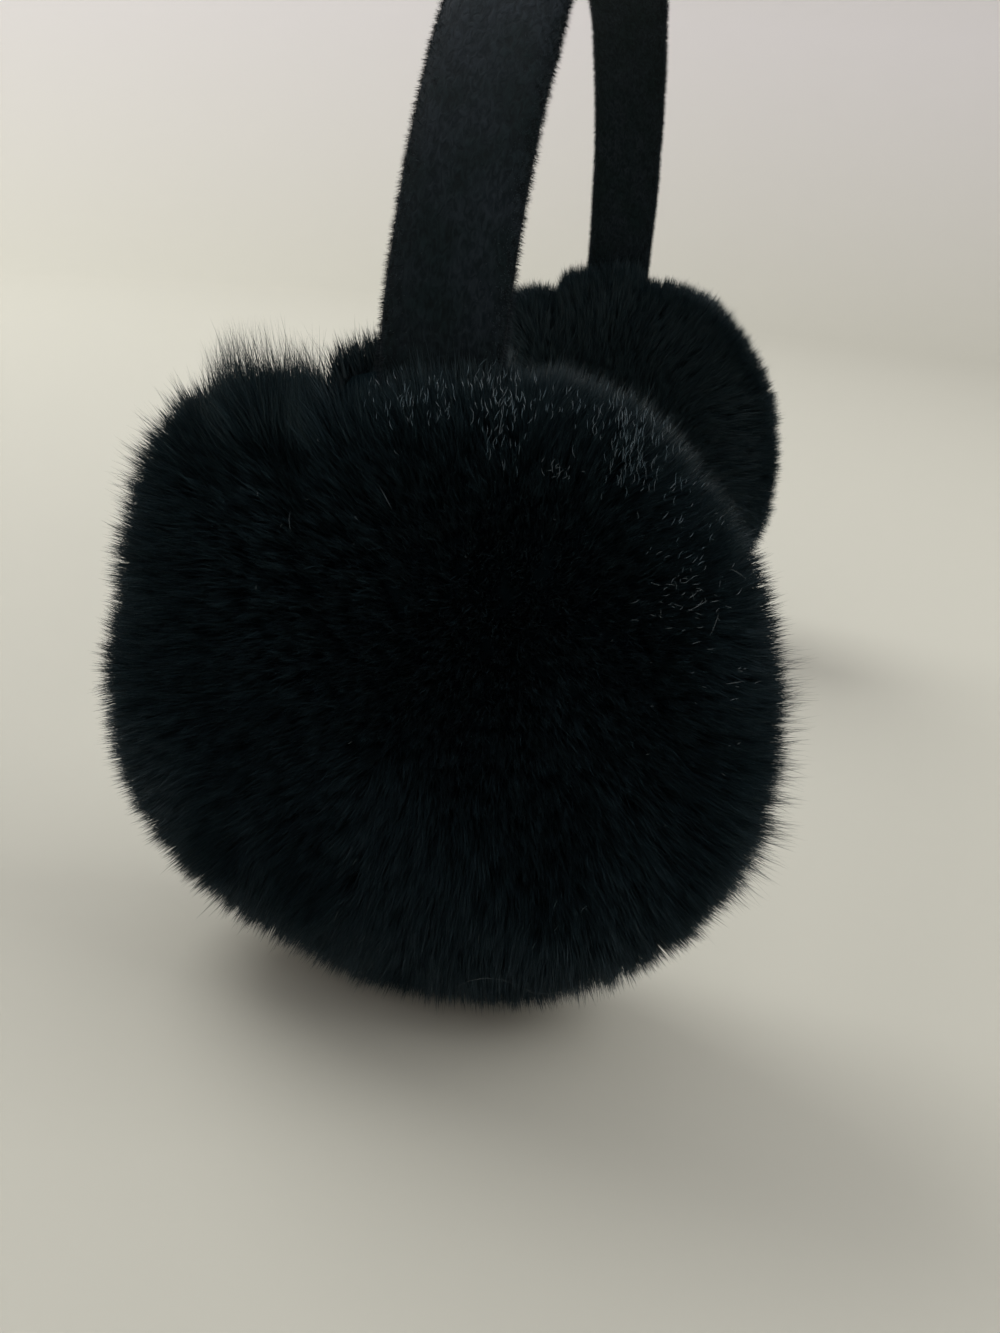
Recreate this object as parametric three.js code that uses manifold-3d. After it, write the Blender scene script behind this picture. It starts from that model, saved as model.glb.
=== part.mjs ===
// Black fur earmuffs: a velvet-covered spring band arched over the head, with a round fur muff on each end.
// Each muff is sewn from two fur panels, a domed outer one and a flatter one that lies on the ear.
// The band's end is held in the seam between them.
//
// Millimetres, +Z up. +X points to the wearer's left and the wearer faces -Y.
// The origin is on the floor, midway between the two muffs, which stand on the pressed fur at their feet.

import * as THREE from 'three';
import { mergeVertices } from 'three/addons/utils/BufferGeometryUtils.js';
import Module from 'manifold-3d';

const wasm = await Module();
wasm.setup();

// Headband
const BAND_WIDTH = 18.3; // front to back
const BAND_THICKNESS = 3.6; // padded velvet sleeve over the spring
const BAND_EDGE_RADIUS = 1.4;
const ARCH_RISE = 131; // muff centre to the top of the band's middle line
const LEG_RISE = 44; // muff centre to where the straight legs turn into the arch
const BAND_TUCK = 30; // length of band held inside the muff

// Muffs
const MUFF_RADIUS = 60; // to the tips of the fur
const SEAM_OFFSET = 93; // middle of the head to the seam between a muff's two panels
const OUTER_DEPTH = 25; // seam to the fur tips on the outer face
const EAR_DEPTH = 20; // seam to the flat face against the ear
const EAR_PRESS = 5; // how far the ear pushes the fur tips in
const FLOOR_PRESS = 5; // how far the floor pushes the fur tips in

// Fur locks
const LOCK_HEIGHT = 3.6; // backing to lock tip, square to the backing
const LOCK_LEAN = 4.6; // how far a tip leans out from the middle of its panel
const LOCK_ROWS = 10; // rows of locks from the middle of a panel to its seam
const LOCK_VARIATION = 0.4; // share of their size by which locks differ
const LOCK_SCATTER = 0.5; // share of their spacing by which locks stray from an even pattern
const SHORTEST_LOCK = 0.3; // anything lower is left as pressed fur

// Fit
const SEAM_GAP = 0.3; // between a muff's two panels
const SLOT_CLEARANCE = 0.3; // round the band's end inside a muff

// Outline of a muff seen from the side: angle from straight up, turning towards the face, in degrees,
// and the radius there as a share of MUFF_RADIUS. The band presses the fur down at the top, and the
// fur swells on both sides of it.
const OUTLINE = [
  { angle: 0, share: 0.95 },
  { angle: 30, share: 1.045 },
  { angle: 60, share: 1.02 },
  { angle: 90, share: 1.01 },
  { angle: 120, share: 1.04 },
  { angle: 150, share: 1.035 },
  { angle: 180, share: 1.015 },
  { angle: 200, share: 0.975 },
  { angle: 225, share: 0.985 },
  { angle: 245, share: 0.985 },
  { angle: 265, share: 0.955 },
  { angle: 285, share: 0.93 },
  { angle: 318, share: 1.045 },
  { angle: 340, share: 0.985 },
];

// The two panels of a muff. facing is 1 away from the head and -1 towards the ear, and pressed is how
// much of the depth the ear takes off. fullness says how full the cross section is from the middle of
// the panel to the seam: 2 is an ellipse, and a higher number is squarer.
const EAR_PILE_DEPTH = EAR_DEPTH + EAR_PRESS;
const PANELS = [
  { name: 'outer_fur', facing: 1, depth: OUTER_DEPTH, pressed: 0, fullness: 2.3, seed: 1000 },
  { name: 'ear_fur', facing: -1, depth: EAR_PILE_DEPTH, pressed: EAR_PRESS, fullness: 2.5, seed: 3000 },
];

const MUFFS = [
  { name: 'right', side: -1 },
  { name: 'left', side: 1 },
];

const FULL_TURN = 360;

function outlineShare(degrees) {
  const angle = ((degrees % FULL_TURN) + FULL_TURN) % FULL_TURN;
  const after = OUTLINE.findIndex((row) => row.angle > angle);
  const to = OUTLINE[after < 0 ? 0 : after];
  const from = after < 0 ? OUTLINE.at(-1) : OUTLINE[after - 1];
  const span = (to.angle - from.angle + FULL_TURN) % FULL_TURN;
  const eased = (1 - Math.cos((Math.PI * (angle - from.angle)) / span)) / 2;
  return from.share + (to.share - from.share) * eased;
}

const backingRadius = MUFF_RADIUS - LOCK_HEIGHT;
const muffCentreHeight = MUFF_RADIUS * outlineShare(180) - FLOOR_PRESS;
const bandEndHeight = muffCentreHeight + MUFF_RADIUS * outlineShare(0) - BAND_TUCK;

// The band's middle line: up one straight leg, over a half ellipse, and down the other leg.
class BandLine extends THREE.Curve {
  constructor(endHeight) {
    super();
    this.archStart = muffCentreHeight + LEG_RISE;
    this.archHeight = ARCH_RISE - LEG_RISE;
    this.archLength = (Math.PI * (SEAM_OFFSET + this.archHeight)) / 2;
    this.endHeight = endHeight;
    this.legLength = this.archStart - endHeight;
  }

  getPoint(t, target = new THREE.Vector3()) {
    const length = this.archLength + 2 * this.legLength;
    const along = t * length;
    if (along < this.legLength) {
      return target.set(-SEAM_OFFSET, 0, this.endHeight + along);
    }
    if (along > length - this.legLength) {
      return target.set(SEAM_OFFSET, 0, this.endHeight + length - along);
    }
    const turn = (Math.PI * (along - this.legLength)) / this.archLength;
    const height = this.archStart + this.archHeight * Math.sin(turn);
    return target.set(-SEAM_OFFSET * Math.cos(turn), 0, height);
  }
}

// The band's section with rounded edges, width along x and thickness along y, grown all round by an
// allowance.
function bandSection(allowance) {
  const halfWidth = BAND_WIDTH / 2 + allowance;
  const halfThickness = BAND_THICKNESS / 2 + allowance;
  const largestRadius = 0.98 * halfThickness;
  const radius = Math.min(BAND_EDGE_RADIUS + allowance, largestRadius);
  const x = halfWidth - radius;
  const y = halfThickness - radius;
  const quarter = Math.PI / 2;
  const shape = new THREE.Shape();
  shape.moveTo(halfWidth, y);
  shape.absarc(x, y, radius, 0, quarter, false);
  shape.absarc(-x, y, radius, quarter, 2 * quarter, false);
  shape.absarc(-x, -y, radius, 2 * quarter, 3 * quarter, false);
  shape.absarc(x, -y, radius, 3 * quarter, 4 * quarter, false);
  return shape;
}

function bandGeometry(allowance) {
  return new THREE.ExtrudeGeometry(bandSection(allowance), {
    steps: 50,
    curveSegments: 1,
    extrudePath: new BandLine(bandEndHeight - allowance),
  });
}

function toSolid(geometry) {
  const bare = geometry.clone();
  bare.deleteAttribute('normal');
  bare.deleteAttribute('uv');
  const merged = mergeVertices(bare, 1e-4);
  const mesh = new wasm.Mesh({
    numProp: 3,
    vertProperties: new Float32Array(merged.attributes.position.array),
    triVerts: new Uint32Array(merged.index.array),
  });
  return new wasm.Manifold(mesh);
}

function toGeometry(solid) {
  const mesh = solid.getMesh();
  const geometry = new THREE.BufferGeometry();
  geometry.setAttribute('position', new THREE.BufferAttribute(mesh.vertProperties, 3));
  geometry.setIndex(new THREE.BufferAttribute(mesh.triVerts, 1));
  geometry.computeVertexNormals();
  return geometry;
}

// Half of a muff's cross section, from the middle of a panel's face at t = 0 to its seam at t = 1.
class PanelProfile extends THREE.Curve {
  constructor(depth, fullness) {
    super();
    this.depth = depth;
    this.power = 2 / fullness;
  }

  getPoint(t, target = new THREE.Vector2()) {
    const bend = (t * Math.PI) / 2;
    const radius = backingRadius * Math.sin(bend) ** this.power;
    const away = t < 1 ? this.depth * Math.cos(bend) ** this.power : 0;
    return target.set(radius, away);
  }
}

// A repeatable scatter from -0.5 to 0.5, so that every build gives the same locks.
function scatter(seed) {
  const wave = Math.sin(seed * 12.9898) * 43758.5453;
  return wave - Math.floor(wave) - 0.5;
}

// A round sheet of near-equal triangles, in which row r is a ring of 6r points.
function roundSheet(rows) {
  const points = [{ row: 0, place: 0 }];
  const firstOfRow = [0];
  for (let row = 1; row <= rows; row++) {
    firstOfRow.push(points.length);
    for (let place = 0; place < 6 * row; place++) {
      points.push({ row, place });
    }
  }
  const at = (row, place) => (row === 0 ? 0 : firstOfRow[row] + (place % (6 * row)));
  const triangles = [];
  for (let row = 1; row <= rows; row++) {
    for (let place = 0; place < 6 * row; place++) {
      const sector = Math.floor(place / row);
      const inner = place - sector;
      triangles.push([at(row, place), at(row, place + 1), at(row - 1, inner)]);
      if (place % row < row - 1) {
        triangles.push([at(row - 1, inner), at(row, place + 1), at(row - 1, inner + 1)]);
      }
    }
  }
  const rim = Array.from({ length: 6 * rows }, (_, place) => at(rows, place));
  return { points, triangles, rim };
}

// One fur panel, with x as the depth away from the seam and the muff's centre at the origin. Its
// backing is a domed sheet closed by a flat seam face, and every triangle of the dome carries one
// pointed lock of fur, which the floor or the ear cuts short where it meets them.
function furPanel({ depth, pressed, fullness, seed }) {
  const floor = -muffCentreHeight;
  const seamFace = SEAM_GAP / 2;
  const earFace = depth - pressed;
  const profile = new PanelProfile(depth - LOCK_HEIGHT, fullness);
  const sheet = roundSheet(LOCK_ROWS);

  const vertices = sheet.points.map(({ row, place }, number) => {
    const stray = row === LOCK_ROWS ? 0 : LOCK_SCATTER * scatter(seed + number);
    const sideStray = LOCK_SCATTER * scatter(seed - number);
    const { x: radius, y: away } = profile.getPointAt(row === 0 ? 0 : (row + stray) / LOCK_ROWS);
    const turn = row === 0 ? 0 : (place + sideStray) / (6 * row);
    const angle = turn * 2 * Math.PI;
    const reach = radius * outlineShare(turn * FULL_TURN);
    return new THREE.Vector3(
      Math.max(seamFace, Math.min(away, earFace)),
      -reach * Math.sin(angle),
      Math.max(floor, reach * Math.cos(angle)),
    );
  });

  const faces = [];
  sheet.triangles.forEach(([a, b, c], number) => {
    const backing = new THREE.Triangle(vertices[a], vertices[b], vertices[c]);
    const middle = backing.getMidpoint(new THREE.Vector3());
    const normal = backing.getNormal(new THREE.Vector3());
    const lean = new THREE.Vector3(0, middle.y, middle.z).normalize().projectOnPlane(normal);
    const reach = normal.multiplyScalar(LOCK_HEIGHT).addScaledVector(lean, LOCK_LEAN);
    const grown = 1 - LOCK_VARIATION * (0.5 + scatter(2 * seed + number));
    const beforeFloor = reach.z < 0 ? (floor - middle.z) / reach.z : Infinity;
    const beforeEar = reach.x > 0 ? (earFace - middle.x) / reach.x : Infinity;
    const share = Math.min(grown, beforeFloor, beforeEar);
    if (share * LOCK_HEIGHT < SHORTEST_LOCK) {
      faces.push([a, b, c]);
      return;
    }
    const tip = vertices.push(middle.addScaledVector(reach, share)) - 1;
    faces.push([a, b, tip], [b, c, tip], [c, a, tip]);
  });

  const seamMiddle = vertices.push(new THREE.Vector3(seamFace, 0, 0)) - 1;
  sheet.rim.forEach((point, place) => {
    faces.push([sheet.rim[(place + 1) % sheet.rim.length], point, seamMiddle]);
  });
  return { vertices, faces };
}

// Turns a panel into a geometry on its side of a muff. Where that mirrors it, its triangles turn over.
function placePanel({ vertices, faces }, seamPlace, direction) {
  const positions = vertices.flatMap(({ x, y, z }) => [
    seamPlace + direction * x,
    y,
    muffCentreHeight + z,
  ]);
  const index = faces.flatMap(([a, b, c]) => (direction > 0 ? [a, b, c] : [a, c, b]));
  const geometry = new THREE.BufferGeometry();
  geometry.setAttribute('position', new THREE.Float32BufferAttribute(positions, 3));
  geometry.setIndex(index);
  return geometry;
}

const earmuffs = new THREE.Group();

const velvet = new THREE.MeshStandardMaterial({ color: 0x15191c, roughness: 0.85, metalness: 0 });
const headband = new THREE.Mesh(bandGeometry(0), velvet);
headband.name = 'headband';
earmuffs.add(headband);

const bandSlot = toSolid(bandGeometry(SLOT_CLEARANCE));
for (const muff of MUFFS) {
  for (const panel of PANELS) {
    const direction = muff.side * panel.facing;
    const placed = placePanel(furPanel(panel), muff.side * SEAM_OFFSET, direction);
    const slotted = toSolid(placed).subtract(bandSlot);
    const fur = new THREE.MeshStandardMaterial({ color: 0x0a0c0e, roughness: 0.9, metalness: 0 });
    const mesh = new THREE.Mesh(toGeometry(slotted), fur);
    mesh.name = `${muff.name}_${panel.name}`;
    earmuffs.add(mesh);
  }
}

// The muffs swell more on one side than the other, so the pair is shifted to have its middle over the
// origin.
const middle = new THREE.Box3().setFromObject(earmuffs).getCenter(new THREE.Vector3());
earmuffs.position.y = -middle.y;

export default earmuffs;
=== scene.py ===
"""Black fur earmuffs: a velvet-covered spring band with a round, deep-pile muff on each end."""

import math

import bpy
import numpy as np
from mathutils import Matrix, Vector
from mathutils.kdtree import KDTree


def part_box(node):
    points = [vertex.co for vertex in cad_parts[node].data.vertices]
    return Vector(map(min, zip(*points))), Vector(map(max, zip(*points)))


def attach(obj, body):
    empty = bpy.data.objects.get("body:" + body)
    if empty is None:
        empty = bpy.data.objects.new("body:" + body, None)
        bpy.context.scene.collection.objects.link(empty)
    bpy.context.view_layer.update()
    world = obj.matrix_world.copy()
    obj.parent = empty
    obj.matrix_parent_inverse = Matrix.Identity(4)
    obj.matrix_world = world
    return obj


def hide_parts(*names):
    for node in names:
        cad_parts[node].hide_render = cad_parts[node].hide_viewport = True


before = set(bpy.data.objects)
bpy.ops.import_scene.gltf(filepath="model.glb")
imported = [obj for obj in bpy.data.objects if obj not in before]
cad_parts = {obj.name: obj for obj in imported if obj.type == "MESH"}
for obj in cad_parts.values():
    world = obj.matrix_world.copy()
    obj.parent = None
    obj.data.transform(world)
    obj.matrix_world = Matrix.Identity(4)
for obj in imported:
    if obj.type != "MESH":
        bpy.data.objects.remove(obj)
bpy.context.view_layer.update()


# Camera
# It looks at the wearer's right muff from 12 cm away and a little from above, and is held slightly askew.
# The muffs are centred 56 mm above the floor that they stand on.
MUFF_CENTRE_HEIGHT = 0.0559
CAMERA_RISE = 0.0792
CAMERA_OUT = 0.2372
CAMERA_FORWARD = 0.0419
CAMERA_YAW = math.radians(11.3)
CAMERA_PITCH = math.radians(25.4)
CAMERA_ROLL = math.radians(5.65)
LENS_MM = 27.8
SENSOR_MM = 36.0

band_low, band_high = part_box("headband")
band_y = (band_low.y + band_high.y) / 2
camera_place = Vector((-CAMERA_OUT, band_y - CAMERA_FORWARD, MUFF_CENTRE_HEIGHT + CAMERA_RISE))
camera_aim = Vector(
    (
        math.cos(CAMERA_YAW) * math.cos(CAMERA_PITCH),
        math.sin(CAMERA_YAW) * math.cos(CAMERA_PITCH),
        -math.sin(CAMERA_PITCH),
    )
)
level_right = camera_aim.cross(Vector((0, 0, 1))).normalized()
level_up = level_right.cross(camera_aim)
camera_right = level_right * math.cos(CAMERA_ROLL) + level_up * math.sin(CAMERA_ROLL)
camera_up = level_up * math.cos(CAMERA_ROLL) - level_right * math.sin(CAMERA_ROLL)
camera = bpy.data.objects.new("camera", bpy.data.cameras.new("camera"))
camera.data.lens = LENS_MM
camera.data.sensor_width = SENSOR_MM
camera.data.clip_start = 0.01
turned = Matrix((camera_right, camera_up, -camera_aim)).transposed().to_4x4()
camera.matrix_world = Matrix.Translation(camera_place) @ turned
bpy.context.scene.collection.objects.link(camera)
bpy.context.scene.camera = camera


# Floor and light
# A pale round floor that curves up into a low wall all round, under soft lamps from behind and from the
# front and an even pale sky.
FLAT_RADII = [0.3, 0.6, 1.0]
BEND_RADIUS = 0.5
BEND_STEPS = 24
WALL_TOP = 1.5
WALL_COLOUR_HEIGHT = 0.35
FLOOR_PLACES = 96
FLOOR_COLOUR = (0.49, 0.48, 0.41, 1)
WALL_COLOUR = (0.60, 0.575, 0.56, 1)
SKY_COLOUR = (0.90, 0.90, 0.95, 1)
SKY_STRENGTH = 0.80
LAMPS = [
    {"name": "key", "place": (0.35, 1.0, 1.3), "aim": (0.1, 0, 0), "size": 0.9, "watts": 11},
    {"name": "window", "place": (-0.05, -0.75, 0.85), "aim": (-0.1, 0, 0.08), "size": 0.6, "watts": 4},
    {"name": "wall_wash", "place": (0.2, 0.9, 1.3), "aim": (1.4, 0.9, 0.5), "size": 0.8, "watts": 8},
]

floor_line = [(radius, 0.0) for radius in FLAT_RADII]
for step in range(1, BEND_STEPS + 1):
    bend = math.pi / 2 * step / BEND_STEPS
    across = FLAT_RADII[-1] + BEND_RADIUS * math.sin(bend)
    floor_line.append((across, BEND_RADIUS * (1 - math.cos(bend))))
floor_line.append((FLAT_RADII[-1] + BEND_RADIUS, WALL_TOP))
turns = [2 * math.pi * place / FLOOR_PLACES for place in range(FLOOR_PLACES)]
floor_points = [(r * math.cos(turn), r * math.sin(turn), z) for r, z in floor_line for turn in turns]
floor_faces = [tuple(range(FLOOR_PLACES))]
for ring in range(len(floor_line) - 1):
    for place in range(FLOOR_PLACES):
        here = ring * FLOOR_PLACES + place
        after = ring * FLOOR_PLACES + (place + 1) % FLOOR_PLACES
        floor_faces.append((here, here + FLOOR_PLACES, after + FLOOR_PLACES, after))
floor_mesh = bpy.data.meshes.new("floor")
floor_mesh.from_pydata(floor_points, [], floor_faces)
floor_mesh.polygons.foreach_set("use_smooth", [True] * len(floor_mesh.polygons))
floor = bpy.data.objects.new("floor", floor_mesh)
bpy.context.scene.collection.objects.link(floor)
floor_finish = bpy.data.materials.new("pale_floor")
floor_finish.use_nodes = True
floor_shader = floor_finish.node_tree.nodes["Principled BSDF"]
floor_shader.inputs["Roughness"].default_value = 0.85
floor_place = floor_finish.node_tree.nodes.new("ShaderNodeTexCoord")
floor_height = floor_finish.node_tree.nodes.new("ShaderNodeSeparateXYZ")
floor_colours = floor_finish.node_tree.nodes.new("ShaderNodeValToRGB")
floor_colours.color_ramp.elements[0].color = FLOOR_COLOUR
floor_colours.color_ramp.elements[1].position = WALL_COLOUR_HEIGHT
floor_colours.color_ramp.elements[1].color = WALL_COLOUR
floor_finish.node_tree.links.new(floor_place.outputs["Object"], floor_height.inputs["Vector"])
floor_finish.node_tree.links.new(floor_height.outputs["Z"], floor_colours.inputs["Fac"])
floor_finish.node_tree.links.new(floor_colours.outputs["Color"], floor_shader.inputs["Base Color"])
floor_mesh.materials.append(floor_finish)

for lamp in LAMPS:
    light = bpy.data.lights.new(lamp["name"], "AREA")
    light.size = lamp["size"]
    light.energy = lamp["watts"]
    holder = bpy.data.objects.new(lamp["name"], light)
    holder.location = lamp["place"]
    holder.visible_camera = False
    towards = Vector(lamp["aim"]) - Vector(lamp["place"])
    holder.rotation_euler = towards.to_track_quat("-Z", "Y").to_euler()
    bpy.context.scene.collection.objects.link(holder)
sky = bpy.data.worlds.new("sky")
sky.use_nodes = True
sky.node_tree.nodes["Background"].inputs["Color"].default_value = SKY_COLOUR
sky.node_tree.nodes["Background"].inputs["Strength"].default_value = SKY_STRENGTH
bpy.context.scene.world = sky
bpy.context.scene.view_settings.view_transform = "Standard"


# Headband
# A flat spring in a padded sleeve of black velvet, bent in an arch from muff to muff. The short nap shows as
# flecks on the faces and as fuzz along the edges; the fuzz is painted lighter towards its tips as painted
# sheen and darker at its roots as painted shade. Each end is tucked into the seam of a muff.
BAND_THICKNESS = 0.0036
ARCH_HEIGHT = 0.087
ARCH_STEPS = 400
BAND_STATIONS = 260
BAND_SECTION_POINTS = 36
SECTION_SIDE_POWER = 0.55
SECTION_LIFT_POWER = 0.8
BAND_WAVER = 0.00014
BAND_WAVES = [
    {"per_metre": 190, "start": 1.0, "twist": 0},
    {"per_metre": 330, "start": 2.1, "twist": 2},
    {"per_metre": 77, "start": 0.0, "twist": 0},
]
NAP_COUNT = 60000
NAP_LENGTH = 0.00095
NAP_LENGTHS = (0.35, 1.25)
NAP_WIDTH = 0.00007
NAP_SPREAD = 0.4
NAP_LEAN = 0.25
NAP_TANGLE = 0.20
# Nap fibres are painted lighter at their tips, a painted sheen, and darker at their roots, a painted shade.
NAP_SHADED_ROOT_SHARE = 0.2
NAP_COLOUR_AND_SHEEN = (0.017, 0.023, 0.028, 1)
VELVET_COLOUR = (0.0008, 0.0038, 0.0048, 1)
VELVET_FLECK_COLOUR = (0.0066, 0.0128, 0.0150, 1)
VELVET_FLECK_RANGE = (0.38, 0.66)
VELVET_FLECKS_PER_METRE = (620, 1150, 1)
VELVET_PATCHES = [(0.55, 0.80, 0.76, 1), (1.50, 1.18, 1.30, 1)]
VELVET_PATCH_RANGE = (0.35, 0.65)
VELVET_PATCHES_PER_METRE = 150
VELVET_SHEEN_TINT = (0.75, 0.88, 1.0, 1)
VELVET_RELIEF = 0.0003


def mesh_from_arrays(name, points, triangles, values):
    """A mesh from numpy arrays, with one number for each point under each name in values."""
    mesh = bpy.data.meshes.new(name)
    mesh.vertices.add(len(points))
    mesh.vertices.foreach_set("co", points.astype(np.float32).ravel())
    mesh.loops.add(3 * len(triangles))
    mesh.loops.foreach_set("vertex_index", triangles.astype(np.int32).ravel())
    mesh.polygons.add(len(triangles))
    mesh.polygons.foreach_set("loop_start", np.arange(0, 3 * len(triangles), 3, dtype=np.int32))
    for value_name, numbers in values.items():
        layer = mesh.attributes.new(value_name, "FLOAT", "POINT")
        layer.data.foreach_set("value", numbers.astype(np.float32))
    mesh.update(calc_edges=True)
    return mesh


def add_piece(name, mesh, finish, node):
    """Puts a piece in the scene in place of its node of the frame."""
    mesh.materials.append(finish)
    piece = bpy.data.objects.new(name, mesh)
    bpy.context.scene.collection.objects.link(piece)
    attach(piece, "root")
    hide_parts(node)


def unit(vectors):
    """The same directions, each of length one."""
    return vectors / np.maximum(np.linalg.norm(vectors, axis=-1, keepdims=True), 1e-12)


def band_frames(along):
    """Places on the band's middle line and its directions, for shares of its length from 0 to 1."""
    leg_x = band_high.x - BAND_THICKNESS / 2
    arch_start = band_high.z - BAND_THICKNESS / 2 - ARCH_HEIGHT
    turn = np.linspace(0, math.pi, ARCH_STEPS)
    arch = np.stack([-leg_x * np.cos(turn), arch_start + ARCH_HEIGHT * np.sin(turn)], 1)
    line = np.vstack([[-leg_x, band_low.z], arch, [leg_x, band_low.z]])
    lengths = np.concatenate([[0], np.cumsum(np.linalg.norm(np.diff(line, axis=0), axis=1))])
    place = along * lengths[-1]
    x = np.interp(place, lengths, line[:, 0])
    z = np.interp(place, lengths, line[:, 1])
    small = 0.0005
    ahead = np.minimum(place + small, lengths[-1])
    behind = np.maximum(place - small, 0)
    run_x = np.interp(ahead, lengths, line[:, 0]) - np.interp(behind, lengths, line[:, 0])
    run_z = np.interp(ahead, lengths, line[:, 1]) - np.interp(behind, lengths, line[:, 1])
    middle = np.stack([x, np.full_like(x, band_y), z], 1)
    forward = unit(np.stack([run_x, np.zeros_like(x), run_z], 1))
    outward = np.cross(forward, [0.0, 1.0, 0.0])
    return middle, forward, outward, lengths[-1]


def band_surface(along, around):
    """Points on the sleeve for shares of its length and angles around its section."""
    middle, _, outward, length = band_frames(along)
    place = along * length
    waver = sum(
        np.sin(place * wave["per_metre"] + wave["start"] + wave["twist"] * around) for wave in BAND_WAVES
    )
    half_width = (band_high.y - band_low.y) / 2 + BAND_WAVER * (waver / len(BAND_WAVES) - 1)
    half_thickness = BAND_THICKNESS / 2
    side = np.sign(np.cos(around)) * np.abs(np.cos(around)) ** SECTION_SIDE_POWER * half_width
    lift = np.sign(np.sin(around)) * np.abs(np.sin(around)) ** SECTION_LIFT_POWER * half_thickness
    return middle + side[:, None] * np.array([0.0, 1.0, 0.0]) + lift[:, None] * outward


def band_normal(along, around):
    """Outward directions of the sleeve at those places."""
    small = 1e-3
    ahead = np.minimum(along + small, 1)
    behind = np.maximum(along - small, 0)
    run = band_surface(ahead, around) - band_surface(behind, around)
    turn = band_surface(along, around + small) - band_surface(along, around - small)
    normal = unit(np.cross(turn, run))
    middle = band_frames(along)[0]
    inwards = np.einsum("ij,ij->i", normal, band_surface(along, around) - middle) < 0
    normal[inwards] *= -1
    return normal


rng = np.random.default_rng(11)
station = np.repeat(np.linspace(0, 1, BAND_STATIONS), BAND_SECTION_POINTS)
section = np.tile(np.arange(BAND_SECTION_POINTS) / BAND_SECTION_POINTS * 2 * math.pi, BAND_STATIONS)
sleeve_points = band_surface(station, section)
ring = np.arange(BAND_SECTION_POINTS)
next_ring = (ring + 1) % BAND_SECTION_POINTS
first = (np.arange(BAND_STATIONS - 1) * BAND_SECTION_POINTS)[:, None]
lower_a, lower_b = first + ring, first + next_ring
upper_a, upper_b = lower_a + BAND_SECTION_POINTS, lower_b + BAND_SECTION_POINTS
sleeve_faces = np.concatenate(
    [
        np.stack([lower_a, lower_b, upper_b], -1).reshape(-1, 3),
        np.stack([lower_a, upper_b, upper_a], -1).reshape(-1, 3),
    ]
)
last = (BAND_STATIONS - 1) * BAND_SECTION_POINTS
end_fan = np.stack([np.zeros(BAND_SECTION_POINTS - 2, int), ring[2:], ring[1:-1]], 1)
sleeve_faces = np.concatenate([sleeve_faces, end_fan, last + end_fan[:, ::-1]])

nap_along = rng.random(NAP_COUNT)
nap_around = rng.normal(0, NAP_SPREAD, NAP_COUNT) + math.pi * (rng.random(NAP_COUNT) < 0.5)
nap_root = band_surface(nap_along, nap_around)
nap_normal = band_normal(nap_along, nap_around)
nap_forward = band_frames(nap_along)[1]
down_band = nap_forward * np.sign(nap_along - 0.5)[:, None]
nap_way = unit(nap_normal + NAP_LEAN * down_band + NAP_TANGLE * rng.normal(size=(NAP_COUNT, 3)))
nap_tip = nap_root + nap_way * (NAP_LENGTH * rng.uniform(*NAP_LENGTHS, NAP_COUNT))[:, None]
nap_side = unit(np.cross(nap_way, rng.normal(size=(NAP_COUNT, 3)))) * NAP_WIDTH / 2
nap_points = np.stack([nap_root - nap_side, nap_root + nap_side, nap_tip], 1).reshape(-1, 3)
nap_faces = np.arange(3 * NAP_COUNT).reshape(-1, 3)
band_length = band_frames(station)[3]
run_along = np.concatenate([station, np.repeat(nap_along, 3)]) * band_length
# Each point's share of the nap's lighter colour: painted sheen at fibre tips, painted shade at their roots.
nap_sheen_shares = [NAP_SHADED_ROOT_SHARE, NAP_SHADED_ROOT_SHARE, 1.0]
nap_sheen_share = np.concatenate([np.zeros(len(station)), np.tile(nap_sheen_shares, NAP_COUNT)])

velvet = bpy.data.materials.new("black_velvet")
velvet.use_nodes = True
nodes, links = velvet.node_tree.nodes, velvet.node_tree.links
shader = nodes["Principled BSDF"]
shader.inputs["Roughness"].default_value = 0.8
shader.inputs["Specular IOR Level"].default_value = 0.12
shader.inputs["Sheen Weight"].default_value = 0.12
shader.inputs["Sheen Roughness"].default_value = 0.35
shader.inputs["Sheen Tint"].default_value = VELVET_SHEEN_TINT
place = nodes.new("ShaderNodeTexCoord")
place_parts = nodes.new("ShaderNodeSeparateXYZ")
along = nodes.new("ShaderNodeAttribute")
along.attribute_name = "along"
along_and_across = nodes.new("ShaderNodeCombineXYZ")
drawn_out = nodes.new("ShaderNodeMapping")
drawn_out.inputs["Scale"].default_value = VELVET_FLECKS_PER_METRE
flecks = nodes.new("ShaderNodeTexNoise")
flecks.inputs["Scale"].default_value = 1.0
flecks.inputs["Detail"].default_value = 4.0
flecks.inputs["Distortion"].default_value = 1.2
fleck_shades = nodes.new("ShaderNodeValToRGB")
fleck_shades.color_ramp.elements[0].position = VELVET_FLECK_RANGE[0]
fleck_shades.color_ramp.elements[0].color = VELVET_COLOUR
fleck_shades.color_ramp.elements[1].position = VELVET_FLECK_RANGE[1]
fleck_shades.color_ramp.elements[1].color = VELVET_FLECK_COLOUR
patches = nodes.new("ShaderNodeTexNoise")
patches.inputs["Scale"].default_value = VELVET_PATCHES_PER_METRE
patches.inputs["Detail"].default_value = 2.0
patch_shades = nodes.new("ShaderNodeValToRGB")
patch_shades.color_ramp.elements[0].position = VELVET_PATCH_RANGE[0]
patch_shades.color_ramp.elements[0].color = VELVET_PATCHES[0]
patch_shades.color_ramp.elements[1].position = VELVET_PATCH_RANGE[1]
patch_shades.color_ramp.elements[1].color = VELVET_PATCHES[1]
crushed = nodes.new("ShaderNodeMix")
crushed.data_type = "RGBA"
crushed.blend_type = "MULTIPLY"
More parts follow.
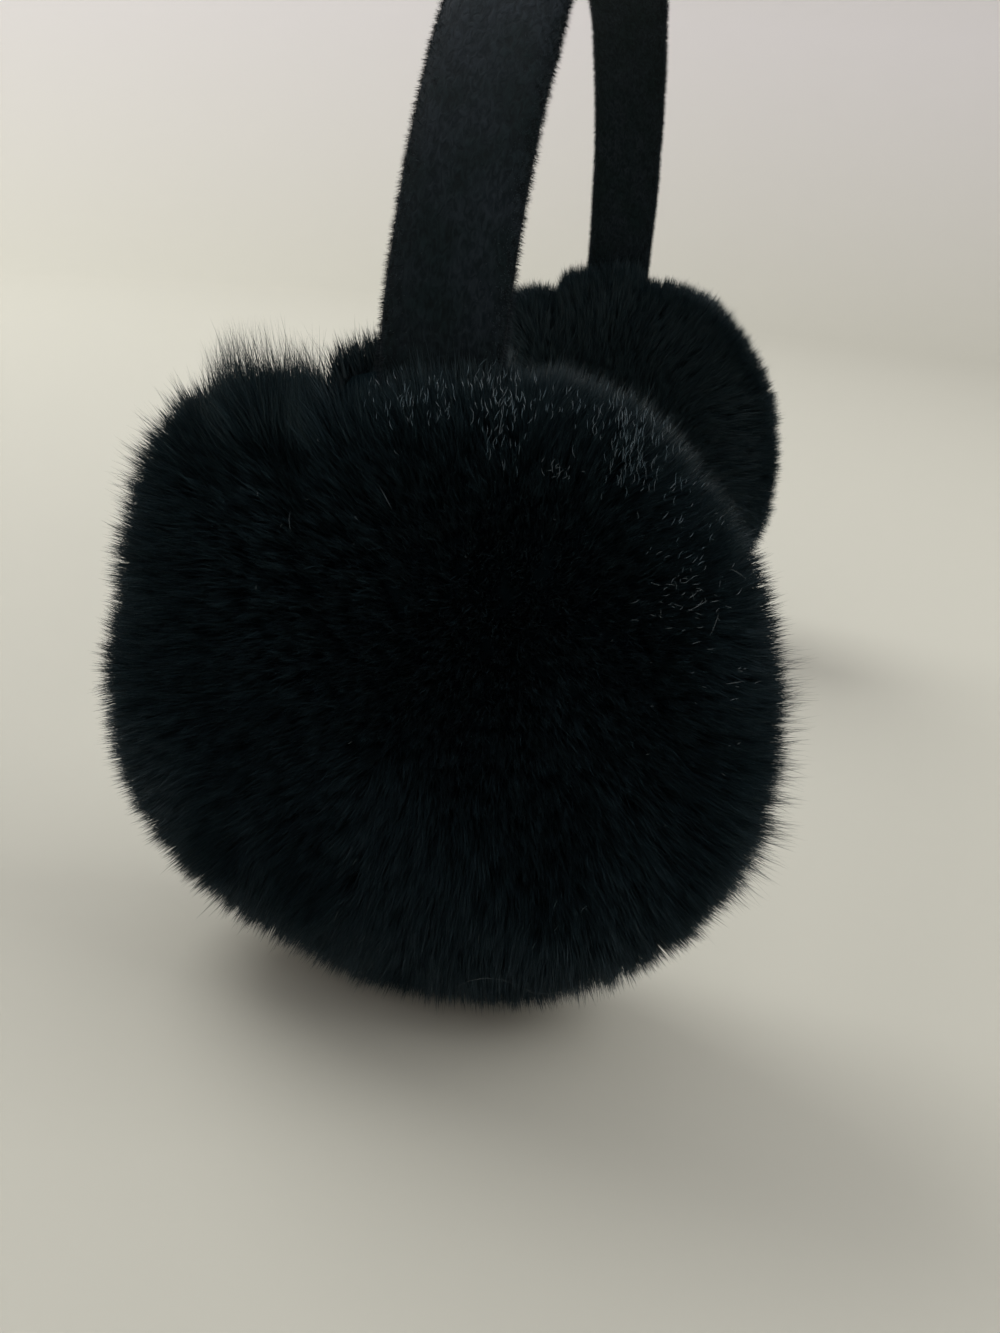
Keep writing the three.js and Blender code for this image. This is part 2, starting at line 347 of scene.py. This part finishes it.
crushed.inputs["Factor"].default_value = 1.0
# Mixes the velvet towards the nap's lighter colour: painted sheen on nap tips, painted shade at their roots.
nap_sheen_here = nodes.new("ShaderNodeAttribute")
nap_sheen_here.attribute_name = "nap"
towards_nap_sheen = nodes.new("ShaderNodeMix")
towards_nap_sheen.data_type = "RGBA"
towards_nap_sheen.inputs[7].default_value = NAP_COLOUR_AND_SHEEN
bump = nodes.new("ShaderNodeBump")
bump.inputs["Strength"].default_value = 0.45
bump.inputs["Distance"].default_value = VELVET_RELIEF
links.new(place.outputs["Object"], place_parts.inputs["Vector"])
links.new(along.outputs["Fac"], along_and_across.inputs["X"])
links.new(place_parts.outputs["Y"], along_and_across.inputs["Y"])
links.new(along_and_across.outputs["Vector"], drawn_out.inputs["Vector"])
links.new(drawn_out.outputs["Vector"], flecks.inputs["Vector"])
links.new(flecks.outputs["Fac"], fleck_shades.inputs["Fac"])
links.new(place.outputs["Object"], patches.inputs["Vector"])
links.new(patches.outputs["Fac"], patch_shades.inputs["Fac"])
links.new(fleck_shades.outputs["Color"], crushed.inputs[6])
links.new(patch_shades.outputs["Color"], crushed.inputs[7])
links.new(nap_sheen_here.outputs["Fac"], towards_nap_sheen.inputs["Factor"])
links.new(crushed.outputs[2], towards_nap_sheen.inputs[6])
links.new(towards_nap_sheen.outputs[2], shader.inputs["Base Color"])
links.new(flecks.outputs["Fac"], bump.inputs["Height"])
links.new(bump.outputs["Normal"], shader.inputs["Normal"])

band_mesh = mesh_from_arrays(
    "headband_velvet",
    np.concatenate([sleeve_points, nap_points]),
    np.concatenate([sleeve_faces, len(sleeve_points) + nap_faces]),
    {"along": run_along, "nap": nap_sheen_share},
)
band_smooth = np.arange(len(band_mesh.polygons)) < len(sleeve_faces)
band_mesh.polygons.foreach_set("use_smooth", band_smooth)
add_piece("headband_velvet", band_mesh, velvet, "headband")


# Muffs
# Each muff is two round panels of deep black pile, sewn together at the rim over a soft filling. The pile
# stands nearly square to its backing and gathers into fine points. It is pressed flat on the ear side and
# underneath, and grows over the lower end of the band.
MUFF_RADIUS = 0.060
LESS_FULL_BELOW = 0.35
PILE_DEPTH = 0.005
PRESSED_LEAN = math.radians(38)
PRESSED_BEND = math.radians(62)
PRESSED_EASE = math.radians(2.25)
UPRIGHT_WITHIN = 0.16
PILE_REACH = 0.0058
PILE_VARIATION = 0.03
LOCK_SHARE = 0.40
LOCK_PULL = 0.11
LOCK_VARIATION = 0.020
PILE_LEAN = math.radians(12)
PILE_LEANS = (0.4, 1.6)
COMB_RISE = 0.35
COMB_SWIRL = 0.25
COMB_SWIRL_TURN = math.radians(40)
COMB_OUT = 0.4
COMB_DRIFT = 0.25
DRIFT_WAVES = 5
DRIFT_LENGTH = 0.045
PILE_WIDTH = 0.00024
PILE_WIDTHS = (0.7, 1.3)
HAIRS_IN_CLUMP = 15
CLUMP_SPREAD = 0.00054
CLUMP_TIP_SHARE = 0.55
HAIR_TANGLE = 0.00045
SHORTEST_HAIR = 0.62
LONGEST_HAIR = 1.14
MORE_SHORT_HAIRS = 1.5
STRAY_SHARE = 0.05
STRAY_TANGLE = 0.0007
DARKEST_TONE = 0.06
CLUMP_TONES = 0.08
HAIR_TONES = 0.28
# Hair roots are painted darker than their tips, as painted shade deep in the pile.
ROOT_PAINTED_SHADE = 0.35
# Colour by tone: the pile's random tones, with painted shade at the roots, use the lower part; the upper part
# colours the lighter hairs on the right muff, partly painted highlight and partly light lint.
PILE_SHADES = [
    {"tone": 0.00, "colour": (0.0040, 0.0095, 0.0125, 1)},
    {"tone": 0.45, "colour": (0.0230, 0.0430, 0.0520, 1)},
    {"tone": 0.55, "colour": (0.0300, 0.0410, 0.0450, 1)},
    {"tone": 1.00, "colour": (0.0560, 0.0650, 0.0670, 1)},
]
PILE_GLOSS_TINT = (0.85, 0.97, 1.0, 1)
BACKING_COLOURS = [(0.003, 0.008, 0.011, 1), (0.008, 0.015, 0.018, 1)]
BACKING_KNIT_PER_METRE = 900
TUFT_WIDTH = 0.00008
TUFT_MIDDLE_WIDTH = 0.8
TUFT_BOW = 0.09
CROWN_RISE = 0.098
CROWN_MIDDLE = math.radians(-5)
CROWN_SPAN = math.radians(13.5)
CROWN_STEEPNESS = 12
LOOSE_WIDTH = 0.00007
LOOSE_END_WIDTH = 0.12
LOOSE_DEPTH = 0.0004
LOOSE_STEPS = 5
LIGHT_LENGTHS = (0.4, 1.1)
LIGHT_BOW = 0.10
LIGHT_TONES = 0.10
FRAME_WIDTH = 1000
FRAME_HEIGHT = 1333
NEAR_PLACES = 8
NEAREST_GAP = 4
WIDEST_GAP = 40
SKIN_ROWS = 30
SKIN_PLACES = 100
SPREAD_ROWS = 160
SPREAD_PLACES = 240
SEAM_GAP = 0.00015
FLOOR_LAYER = 0.0003
FACE_ROOM = 0.0004
FACE_LAYER = 0.0008
BAND_LAYER = 0.0006
BAND_CLEARANCE = 0.0003
BAND_EASE = 0.004
OUTLINE = [
    {"angle": 0, "share": 0.905},
    {"angle": 10, "share": 0.930},
    {"angle": 20, "share": 0.975},
    {"angle": 30, "share": 1.000},
    {"angle": 45, "share": 0.982},
    {"angle": 60, "share": 0.980},
    {"angle": 75, "share": 0.966},
    {"angle": 90, "share": 0.970},
    {"angle": 105, "share": 0.995},
    {"angle": 120, "share": 1.000},
    {"angle": 135, "share": 0.995},
    {"angle": 150, "share": 0.985},
    {"angle": 165, "share": 0.962},
    {"angle": 180, "share": 0.948},
    {"angle": 200, "share": 0.925},
    {"angle": 225, "share": 0.955},
    {"angle": 245, "share": 0.950},
    {"angle": 265, "share": 0.912},
    {"angle": 285, "share": 0.878},
    {"angle": 300, "share": 0.932},
    {"angle": 318, "share": 1.000},
    {"angle": 330, "share": 0.948},
    {"angle": 342, "share": 0.862},
    {"angle": 352, "share": 0.868},
    {"angle": 360, "share": 0.905},
]
# Longer, finer hairs, between two angles from the top, turning towards the front, and between two bends.
# The third group reaches over the foot of the band.
TUFTS = [
    {"from": -36, "to": -16, "near": 60, "far": 89, "clumps": 400, "hairs": 8, "length": 0.0122, "lean": 12},
    {"from": -56, "to": -34, "near": 62, "far": 89, "clumps": 130, "hairs": 6, "length": 0.0080, "lean": 12},
    {"from": -11, "to": 12, "near": 62, "far": 84, "clumps": 110, "hairs": 6, "length": 0.0088, "lean": 10},
    {"from": 12, "to": 66, "near": 40, "far": 86, "clumps": 130, "hairs": 6, "length": 0.0066, "lean": 14},
    {"from": 68, "to": 97, "near": 62, "far": 89, "clumps": 230, "hairs": 7, "length": 0.0091, "lean": 9},
    {"from": 97, "to": 108, "near": 66, "far": 89, "clumps": 80, "hairs": 7, "length": 0.0092, "lean": 9},
]
# The raised pile of the ear panel, on both sides of the band.
CROWN_TUFTS = [
    {"from": -20, "to": -8, "near": 62, "far": 89, "clumps": 170, "hairs": 8, "length": 0.0060, "lean": 10},
    {"from": 5, "to": 13, "near": 62, "far": 89, "clumps": 100, "hairs": 8, "length": 0.0060, "lean": 10},
]
# Lighter hairs that lie on the right muff, partly painted highlight on strands that catch the light from
# above
# and partly light lint. By patch: where it is and how far it spreads in a frame of 1000 by 1333, how many
# hairs, their turn from level in degrees and its sway, their length there and their tone.
HIGHLIGHT_AND_LINT_HAIRS = [
    {"at": (500, 400), "spread": (17, 27), "count": 120, "turn": 84, "sway": 14, "length": 13, "tone": 0.52},
    {"at": (637, 440), "spread": (25, 26), "count": 150, "turn": 86, "sway": 9, "length": 14, "tone": 0.52},
    {"at": (570, 405), "spread": (28, 16), "count": 30, "turn": 86, "sway": 10, "length": 10, "tone": 0.48},
    {"at": (420, 396), "spread": (24, 13), "count": 70, "turn": 86, "sway": 16, "length": 12, "tone": 0.46},
    {"at": (559, 470), "spread": (9, 7), "count": 16, "turn": 64, "sway": 25, "length": 10, "tone": 0.75},
    {"at": (690, 600), "spread": (20, 19), "count": 44, "turn": 22, "sway": 42, "length": 10, "tone": 0.75},
    {"at": (735, 686), "spread": (12, 12), "count": 6, "turn": 4, "sway": 18, "length": 10, "tone": 0.75},
    {"at": (690, 520), "spread": (26, 32), "count": 34, "turn": 60, "sway": 20, "length": 10, "tone": 0.50},
    {"at": (320, 560), "spread": (110, 100), "count": 14, "turn": 60, "sway": 60, "length": 5, "tone": 0.70},
    {"at": (690, 690), "spread": (35, 60), "count": 14, "turn": 10, "sway": 40, "length": 5, "tone": 0.70},
    {"at": (440, 920), "spread": (110, 30), "count": 12, "turn": 60, "sway": 20, "length": 10, "tone": 0.52},
]
# Longer single hairs there, partly painted highlight and partly light lint, by the places in the same frame
# where each starts, passes and ends.
LOOSE_HIGHLIGHT_AND_LINT_HAIRS = [
    {"start": (686, 612), "middle": (698, 606), "end": (708, 600), "tone": 0.95},
    {"start": (710, 636), "middle": (716, 622), "end": (719, 612), "tone": 0.95},
    {"start": (725, 684), "middle": (733, 683), "end": (745, 681), "tone": 1.00},
    {"start": (730, 569), "middle": (737, 572), "end": (746, 579), "tone": 0.95},
    {"start": (379, 486), "middle": (386, 498), "end": (392, 510), "tone": 0.66},
    {"start": (291, 510), "middle": (289, 520), "end": (291, 532), "tone": 0.64},
    {"start": (455, 988), "middle": (485, 978), "end": (520, 986), "tone": 0.85},
    {"start": (520, 986), "middle": (548, 994), "end": (592, 980), "tone": 0.80},
]
# One row for each panel. A fullness of 2 is a round dome, and more is flatter with a tighter rim. Pressed is
# 1 where the middle is pressed flat, and crown is 1 where the pile rises on both sides of the band.
PANELS = [
    {"name": "right_outer_pile", "node": "right_outer_fur", "slot": "outer_fur", "depth": 0.025, "pressed": 0,
     "fullness": 2.3, "crown": 0, "clumps": 10900, "tufts": TUFTS, "light": HIGHLIGHT_AND_LINT_HAIRS, "seed": 21},
    {"name": "right_ear_pile", "node": "right_ear_fur", "slot": "ear_fur", "depth": 0.0205, "pressed": 1,
     "fullness": 3.1, "crown": 1, "clumps": 12000, "tufts": CROWN_TUFTS, "light": [], "seed": 22},
    {"name": "left_outer_pile", "node": "left_outer_fur", "slot": "outer_fur", "depth": 0.025, "pressed": 0,
     "fullness": 2.3, "crown": 0, "clumps": 12200, "tufts": [], "light": [], "seed": 23},
    {"name": "left_ear_pile", "node": "left_ear_fur", "slot": "ear_fur", "depth": 0.0205, "pressed": 1,
     "fullness": 3.1, "crown": 1, "clumps": 12000, "tufts": CROWN_TUFTS, "light": [], "seed": 24},
]


def outline_share(panel, angle):
    """A panel outline's share of the muff's radius at angles from the top, turning towards the front. The
    ear side rises higher than the outer side on both sides of the band."""
    degrees = np.degrees(angle) % 360
    angles = np.array([row["angle"] for row in OUTLINE])
    shares = np.array([row["share"] for row in OUTLINE])
    after = np.clip(np.searchsorted(angles, degrees, side="right"), 1, len(angles) - 1)
    way = (degrees - angles[after - 1]) / (angles[after] - angles[after - 1])
    eased = (1 - np.cos(math.pi * way)) / 2
    from_top = (angle + math.pi) % (2 * math.pi) - math.pi
    off_middle = (from_top - CROWN_MIDDLE) / CROWN_SPAN
    crown = panel["crown"] * CROWN_RISE * np.exp(-(off_middle**CROWN_STEEPNESS))
    return shares[after - 1] + (shares[after] - shares[after - 1]) * eased + crown


def skin_at(panel, bend, angle):
    """Points of a panel's skin, as depth from the seam, place towards the back and height from the centre.
    The bend runs from 0 in the middle of the panel to a quarter turn at its rim."""
    bend, angle = np.broadcast_arrays(np.clip(bend, 1e-4, math.pi / 2 - 1e-4), angle)
    power = 2 / (panel["fullness"] - LESS_FULL_BELOW * np.maximum(-np.cos(angle), 0))
    radius = (MUFF_RADIUS * outline_share(panel, angle) - PILE_DEPTH) * np.sin(bend) ** power
    away = (panel["depth"] - PILE_DEPTH) * np.cos(bend) ** power
    return np.stack([away, -radius * np.sin(angle), radius * np.cos(angle)], -1)


def skin_normal(panel, bend, angle):
    """Outward directions of the skin at those places."""
    small = 2e-3
    across = skin_at(panel, bend + small, angle) - skin_at(panel, bend - small, angle)
    around = skin_at(panel, bend, angle + small) - skin_at(panel, bend, angle - small)
    normal = unit(np.cross(across, around))
    inwards = np.einsum("ij,ij->i", normal, skin_at(panel, bend, angle)) < 0
    normal[inwards] *= -1
    return normal


def even_places(panel, count, rng):
    """Random places spread evenly over the skin."""
    bends = np.linspace(0, math.pi / 2, SPREAD_ROWS + 1)
    angles = np.linspace(0, 2 * math.pi, SPREAD_PLACES + 1)
    grid = skin_at(panel, bends[:, None], angles[None, :])
    diagonals = grid[1:, 1:] - grid[:-1, :-1], grid[1:, :-1] - grid[:-1, 1:]
    areas = np.linalg.norm(np.cross(*diagonals), axis=-1).ravel()
    cell = rng.choice(len(areas), count, p=areas / areas.sum())
    bend = bends[cell // SPREAD_PLACES] + rng.random(count) * (bends[1] - bends[0])
    angle = angles[cell % SPREAD_PLACES] + rng.random(count) * (angles[1] - angles[0])
    return bend, angle


def drift(points, rng):
    """A smooth, wandering direction for each point, which changes over a few centimetres."""
    waves = rng.normal(size=(DRIFT_WAVES, 3)) * 2 * math.pi / DRIFT_LENGTH
    phases = rng.random(DRIFT_WAVES) * 2 * math.pi
    ways = rng.normal(size=(DRIFT_WAVES, 3))
    return np.sin(points @ waves.T + phases) @ ways / 2


def draw_into_locks(roots, tips, rng):
    """The clumps' tips, each drawn towards the tip of a leader beside it, so that they gather into locks."""
    leaders = np.flatnonzero(rng.random(len(roots)) < LOCK_SHARE)
    tree = KDTree(len(leaders))
    for leader in leaders:
        tree.insert(roots[leader], leader)
    tree.balance()
    nearest = np.array([tree.find(root)[1] for root in roots])
    stretch = rng.normal(1, LOCK_VARIATION, len(roots))[nearest][:, None]
    drawn = tips + LOCK_PULL * (tips[nearest] - tips)
    return roots + (drawn - roots) * stretch


def grow_clumps(panel, bend, angle, hairs, length, lean, rng):
    """Roots and tips of hairs that grow in clumps, each clump drawn together towards its point. Also each
    hair's tone and the skin's direction under it. Hairs on the crown stand as those beside it do."""
    root = skin_at(panel, bend, angle)
    normal = skin_normal({**panel, "crown": 0}, bend, angle)
    outwards = np.stack([np.zeros_like(angle), -np.sin(angle), np.cos(angle)], 1)
    pressed = panel["pressed"] / (1 + np.exp((bend - PRESSED_BEND) / PRESSED_EASE))
    lift = (COMB_RISE + COMB_SWIRL * np.cos(angle + COMB_SWIRL_TURN)) * (1 - pressed)
    radial = (COMB_OUT + (1 - COMB_OUT) * pressed)[:, None] * outwards
    comb = radial + lift[:, None] * np.array([0.0, 0.0, 1.0]) + COMB_DRIFT * drift(root, rng)
    comb = unit(comb - np.einsum("ij,ij->i", comb, normal)[:, None] * normal)
    across = np.cross(normal, comb)
    parted = np.minimum(np.sin(bend) / UPRIGHT_WITHIN, 1)
    lean = lean * rng.uniform(*PILE_LEANS, len(bend)) + PRESSED_LEAN * pressed * parted
    reach = length * rng.normal(1, PILE_VARIATION, len(bend))
    way = normal * np.cos(lean)[:, None] + comb * np.sin(lean)[:, None]
    point = draw_into_locks(root, root + way * reach[:, None], rng)

    def spread(array):
        """One row for each hair, from one row for each clump."""
        return np.repeat(array, hairs, axis=0)

    count = len(bend) * hairs
    offset = rng.normal(size=(count, 2)) * CLUMP_SPREAD
    offset = offset[:, :1] * spread(comb) + offset[:, 1:] * spread(across)
    hair_root = spread(root) + offset
    stray = rng.random(count) < STRAY_SHARE
    tangle = np.where(stray, STRAY_TANGLE, HAIR_TANGLE)[:, None]
    hair_tip = spread(point) + offset * CLUMP_TIP_SHARE + rng.normal(size=(count, 3)) * tangle
    share = SHORTEST_HAIR + (LONGEST_HAIR - SHORTEST_HAIR) * rng.random(count) ** MORE_SHORT_HAIRS
    hair_tip = hair_root + (hair_tip - hair_root) * share[:, None]
    tone = DARKEST_TONE + spread(rng.random(len(bend))) * CLUMP_TONES + rng.random(count) * HAIR_TONES
    return hair_root, hair_tip, tone, spread(normal)


def keep_clear(panel, points, rng):
    """Presses hairs flat on the floor and at the panel's full depth, and keeps them out of the band."""
    slack = rng.random(len(points))
    face = panel["depth"] + FACE_ROOM - FACE_LAYER * slack * panel["pressed"]
    points[:, 2] = np.maximum(points[:, 2], -MUFF_CENTRE_HEIGHT + FLOOR_LAYER * slack)
    points[:, 0] = np.minimum(points[:, 0], face)
    half_width = (band_high.y - band_low.y) / 2 + BAND_CLEARANCE
    before_band = np.clip(1 - (np.abs(points[:, 1]) - half_width) / BAND_EASE, 0, 1)
    above = points[:, 2] > band_low.z - MUFF_CENTRE_HEIGHT - BAND_CLEARANCE
    off_band = (BAND_THICKNESS / 2 + BAND_CLEARANCE + BAND_LAYER * slack) * before_band
    points[:, 0] = np.where(above & (before_band > 0), np.maximum(points[:, 0], off_band), points[:, 0])
    return points


def straight_hairs(panel, grown, rng):
    """Points, triangles and tones of short straight hairs, each one slim triangle."""
    root, tip, tone, _ = grown
    root, tip = keep_clear(panel, root, rng), keep_clear(panel, tip, rng)
    width = PILE_WIDTH * rng.uniform(*PILE_WIDTHS, len(root))[:, None]
    side = unit(np.cross(tip - root, rng.normal(size=root.shape))) * width / 2
    points = np.stack([root - side, root + side, tip], 1).reshape(-1, 3)
    # Roots are painted darker than tips: painted shade deep in the pile.
    tones = np.stack([ROOT_PAINTED_SHADE * tone, ROOT_PAINTED_SHADE * tone, tone], 1).ravel()
    return points, np.arange(len(points)).reshape(-1, 3), tones


def curved_hairs(panel, grown, rng):
    """Points, triangles and tones of long hairs that bow a little, each three slim triangles."""
    root, tip, tone, normal = grown
    length = np.linalg.norm(tip - root, axis=1)[:, None]
    bow = unit(rng.normal(size=root.shape) + normal)
    middle = (root + tip) / 2 + bow * length * TUFT_BOW
    root, middle, tip = (keep_clear(panel, part, rng) for part in (root, middle, tip))
    side = unit(np.cross(tip - root, rng.normal(size=root.shape))) * TUFT_WIDTH / 2
    middle_side = TUFT_MIDDLE_WIDTH * side
    points = np.stack([root - side, root + side, middle - middle_side, middle + middle_side, tip], 1)
    first = np.arange(len(root))[:, None] * 5
    triangles = np.concatenate([first + [0, 1, 3], first + [0, 3, 2], first + [2, 3, 4]])
    return points.reshape(-1, 3), triangles, np.repeat(tone, 5)


def hairs_in_patches(patches, rng):
    """Rows like those of the longer single hairs, strewn over each patch."""
    rows = []
    for patch in patches:
        for _ in range(patch["count"]):
            turn = math.radians(rng.normal(patch["turn"], patch["sway"]))
            run = np.array([math.cos(turn), -math.sin(turn)]) * patch["length"] * rng.uniform(*LIGHT_LENGTHS)
            middle = np.array(patch["at"]) + rng.normal(size=2) * patch["spread"]
            bow = np.array([run[1], -run[0]]) * rng.normal(0, LIGHT_BOW)
            tone = patch["tone"] + rng.uniform(-LIGHT_TONES, LIGHT_TONES)
            start = middle - run / 2
            end = middle + run / 2
            rows.append({"start": start, "middle": middle + bow, "end": end, "tone": tone})
    return rows


def loose_hairs(panel, rows, place_in_scene):
    """Points, triangles and tones of single lighter hairs, partly painted highlight and partly light lint,
    that lie on the ends of the pile, on the side towards the camera. A hair that would lie past the panel's
    edge is left out."""
    bend, angle = np.meshgrid(np.radians(np.arange(1, 89.5, 0.5)), np.radians(np.arange(0, 360, 1.0)))
    normal = skin_normal(panel, bend.ravel(), angle.ravel())
    ends = place_in_scene(skin_at(panel, bend.ravel(), angle.ravel()) + PILE_REACH * normal)
    outwards = unit(place_in_scene(normal) - place_in_scene(np.zeros((1, 3))))
    from_camera = ends - np.array(camera_place)
    seen = np.einsum("ij,ij->i", from_camera, outwards) < 0
    from_camera = from_camera[seen]
    pixels_per_slope = FRAME_HEIGHT * LENS_MM / SENSOR_MM
    depth = from_camera @ np.array(camera_aim)
    across = FRAME_WIDTH / 2 + pixels_per_slope * (from_camera @ np.array(camera_right)) / depth
    down = FRAME_HEIGHT / 2 - pixels_per_slope * (from_camera @ np.array(camera_up)) / depth
    to_panel = place_in_scene(np.zeros((1, 3)))
    points, triangles, tones = [], [], []
    for row in rows:
        way = np.linspace(0, 1, LOOSE_STEPS)[:, None]
        start, middle, end = (np.array(row[part], float) for part in ("start", "middle", "end"))
        pixel = start * (1 - way) ** 2 + (4 * middle - start - end) * way * (1 - way) + end * way**2
        # The gap is a squared distance in the frame, from each step of the hair to each place seen.
        gap = (across[None] - pixel[:, :1]) ** 2 + (down[None] - pixel[:, 1:]) ** 2 + NEAREST_GAP
        nearest = np.argpartition(gap, NEAR_PLACES, axis=1)[:, :NEAR_PLACES]
        if gap.min(axis=1).max() > WIDEST_GAP:
            continue
        weight = 1 / np.take_along_axis(gap, nearest, 1)
        depth_here = (depth[nearest] * weight).sum(1) / weight.sum(1)
        slope_across = (pixel[:, 0] - FRAME_WIDTH / 2) / pixels_per_slope
        slope_down = (pixel[:, 1] - FRAME_HEIGHT / 2) / pixels_per_slope
        ray = (
            np.array(camera_aim)
            + slope_across[:, None] * np.array(camera_right)
            - slope_down[:, None] * np.array(camera_up)
        )
        line = np.array(camera_place) + ray * (depth_here + LOOSE_DEPTH)[:, None]
        run = unit(np.gradient(line, axis=0))
        width = LOOSE_END_WIDTH + (1 - LOOSE_END_WIDTH) * np.sin(math.pi * way)
        side = unit(np.cross(run, ray)) * LOOSE_WIDTH / 2 * width
        first = len(points) * 2 * LOOSE_STEPS
        step = np.arange(LOOSE_STEPS - 1)[:, None] * 2 + first
        points.append(np.stack([line - side, line + side], 1).reshape(-1, 3))
        triangles.append(np.concatenate([step + [0, 1, 3], step + [0, 3, 2]]))
        tones.append(np.full(2 * LOOSE_STEPS, row["tone"]))
    points = (np.concatenate(points) - to_panel) * (place_in_scene(np.ones((1, 3))) - to_panel)
    return points, np.concatenate(triangles), np.concatenate(tones)


def skin_shell(panel):
    """Points, triangles and tones of a panel's skin: the dome, closed by the seam face."""
    bends = np.linspace(0, math.pi / 2, SKIN_ROWS + 1)[1:]
    angles = np.arange(SKIN_PLACES) / SKIN_PLACES * 2 * math.pi
    dome = skin_at(panel, bends[:, None], angles[None, :]).reshape(-1, 3)
    dome_middle = [panel["depth"] - PILE_DEPTH, 0, 0]
    seam_middle = [SEAM_GAP, 0, 0]
    points = np.concatenate([dome, [dome_middle], [seam_middle]])
    points[:, 0] = np.maximum(points[:, 0], SEAM_GAP)
    points[:, 2] = np.maximum(points[:, 2], FLOOR_LAYER - MUFF_CENTRE_HEIGHT)
    place = np.arange(SKIN_PLACES)
    after = (place + 1) % SKIN_PLACES
    first = (np.arange(SKIN_ROWS - 1) * SKIN_PLACES)[:, None]
    inner_a, inner_b = first + place, first + after
    outer_a, outer_b = inner_a + SKIN_PLACES, inner_b + SKIN_PLACES
    middle, seam = len(dome), len(dome) + 1
    rim = (SKIN_ROWS - 1) * SKIN_PLACES
    faces = [
        np.stack([inner_a, outer_a, outer_b], -1).reshape(-1, 3),
        np.stack([inner_a, outer_b, inner_b], -1).reshape(-1, 3),
        np.stack([np.full(SKIN_PLACES, middle), place, after], 1),
        np.stack([np.full(SKIN_PLACES, seam), rim + after, rim + place], 1),
    ]
    return points, np.concatenate(faces), np.zeros(len(points))


backing = bpy.data.materials.new("black_backing")
backing.use_nodes = True
nodes, links = backing.node_tree.nodes, backing.node_tree.links
shader = nodes["Principled BSDF"]
shader.inputs["Roughness"].default_value = 1.0
shader.inputs["Specular IOR Level"].default_value = 0.0
knit = nodes.new("ShaderNodeTexNoise")
knit.inputs["Scale"].default_value = BACKING_KNIT_PER_METRE
shades = nodes.new("ShaderNodeValToRGB")
shades.color_ramp.elements[0].color = BACKING_COLOURS[0]
shades.color_ramp.elements[1].color = BACKING_COLOURS[1]
links.new(knit.outputs["Fac"], shades.inputs["Fac"])
links.new(shades.outputs["Color"], shader.inputs["Base Color"])

pile = bpy.data.materials.new("black_pile")
pile.use_nodes = True
nodes, links = pile.node_tree.nodes, pile.node_tree.links
shader = nodes["Principled BSDF"]
shader.inputs["Roughness"].default_value = 0.46
shader.inputs["Specular IOR Level"].default_value = 0.40
shader.inputs["Specular Tint"].default_value = PILE_GLOSS_TINT
# Each point's tone: random in the pile, darker at hair roots as painted shade, and lighter on the hairs that
# lie on the right muff, partly painted highlight and partly light lint.
tone = nodes.new("ShaderNodeAttribute")
tone.attribute_name = "tone"
shades = nodes.new("ShaderNodeValToRGB")
shades.color_ramp.elements[0].color = PILE_SHADES[0]["colour"]
shades.color_ramp.elements[1].color = PILE_SHADES[-1]["colour"]
for shade in PILE_SHADES[1:-1]:
    shades.color_ramp.elements.new(shade["tone"]).color = shade["colour"]
links.new(tone.outputs["Fac"], shades.inputs["Fac"])
links.new(shades.outputs["Color"], shader.inputs["Base Color"])

for panel in PANELS:
    rng = np.random.default_rng(panel["seed"])
    side = -1 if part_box(panel["node"])[0].x < 0 else 1
    seam_x = side * (band_high.x - BAND_THICKNESS / 2)
    outward = side if panel["slot"] == "outer_fur" else -side

    def place_in_scene(points, outward=outward, seam_x=seam_x):
        """The same points in the scene, from a panel's own depth, place and height."""
        return points * [outward, 1, 1] + [seam_x, band_y, MUFF_CENTRE_HEIGHT]

    bend, angle = even_places(panel, panel["clumps"], rng)
    grown = grow_clumps(panel, bend, angle, HAIRS_IN_CLUMP, PILE_REACH, PILE_LEAN, rng)
    parts = [skin_shell(panel), straight_hairs(panel, grown, rng)]
    for tuft in panel["tufts"]:
        tuft_angle = np.radians(rng.uniform(tuft["from"], tuft["to"], tuft["clumps"]))
        tuft_bend = np.radians(rng.uniform(tuft["near"], tuft["far"], tuft["clumps"]))
        lean = math.radians(tuft["lean"])
        grown = grow_clumps(panel, tuft_bend, tuft_angle, tuft["hairs"], tuft["length"], lean, rng)
        parts.append(curved_hairs(panel, grown, rng))
    # The lighter hairs on the right muff: partly painted highlight, partly light lint.
    if panel["light"]:
        rows = LOOSE_HIGHLIGHT_AND_LINT_HAIRS + hairs_in_patches(panel["light"], rng)
        parts.append(loose_hairs(panel, rows, place_in_scene))
    counts = np.cumsum([0] + [len(part[0]) for part in parts])
    points = np.concatenate([part[0] for part in parts])
    faces = np.concatenate([part[1] + count for part, count in zip(parts, counts)])
    tones = np.concatenate([part[2] for part in parts])
    points = place_in_scene(points)
    if outward < 0:
        faces = faces[:, ::-1]
    panel_mesh = mesh_from_arrays(panel["name"], points, faces, {"tone": tones})
    on_skin = np.arange(len(faces)) < len(parts[0][1])
    panel_mesh.polygons.foreach_set("use_smooth", on_skin)
    add_piece(panel["name"], panel_mesh, pile, panel["node"])
    panel_mesh.materials.append(backing)
    panel_mesh.polygons.foreach_set("material_index", on_skin.astype(np.int32))
